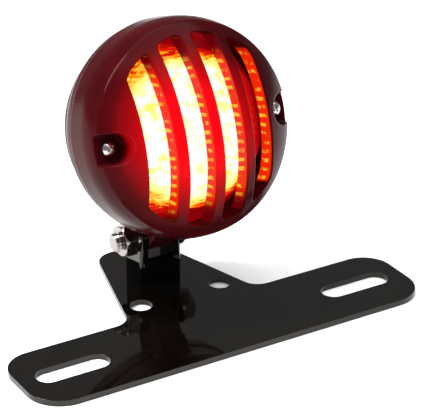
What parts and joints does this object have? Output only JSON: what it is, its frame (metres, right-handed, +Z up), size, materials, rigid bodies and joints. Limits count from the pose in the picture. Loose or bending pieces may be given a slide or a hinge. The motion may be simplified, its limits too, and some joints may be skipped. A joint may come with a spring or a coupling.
{
  "type": "motorcycle tail light",
  "caption": "Round grille-cover LED tail light that tilts on a cross bolt above a flat T-shaped licence plate bracket.",
  "frame": {"origin": "on the underside of the bracket plate, midway between the two licence plate slots", "axes": "+X across the lamp along the bracket's long bar, +Y backwards away from the lens, +Z up out of the plate"},
  "size_m": [0.178, 0.099, 0.122],
  "materials": {
    "black_paint": "gloss",
    "steel_plating": "polished",
    "bronze": "satin",
    "housing_casting": "satin",
    "cover_casting": "gloss",
    "red_lens": "gloss",
    "seal_rubber": "matte",
    "white_reflector": "gloss",
    "circuit_board": "satin",
    "led_epoxy": "gloss",
    "dark_component": "satin",
    "terminal_plastic": "satin"
  },
  "bodies": {
    "bracket": {"bracket_plate": "black_paint", "pivot_clevis": "black_paint", "clevis_screws": "steel_plating", "pivot_bolt": "steel_plating", "pivot_nut": "steel_plating", "lock_washer": "steel_plating", "flat_washer": "steel_plating"},
    "lamp": {"pivot_bush": "bronze", "housing": "housing_casting", "vent_plug": "seal_rubber", "wire_grommet": "seal_rubber", "cover_gasket": "seal_rubber", "grille_cover": "cover_casting", "cover_screws": "steel_plating", "lens": "red_lens", "lens_seals": "seal_rubber", "reflector": "white_reflector", "led_board": "circuit_board", "leds": "led_epoxy", "resistors": "dark_component", "driver_chip": "dark_component", "capacitor": "dark_component", "terminal_block": "terminal_plastic", "board_standoffs": "bronze", "board_screws": "steel_plating", "diode": "dark_component"}
  },
  "joints": [
    {"name": "lamp_tilt", "type": "hinge", "parent": "bracket", "child": "lamp", "pos_m": [0, 0.052, 0.0215], "axis": [1, 0, 0], "range_deg": [-20, 15]}
  ]
}
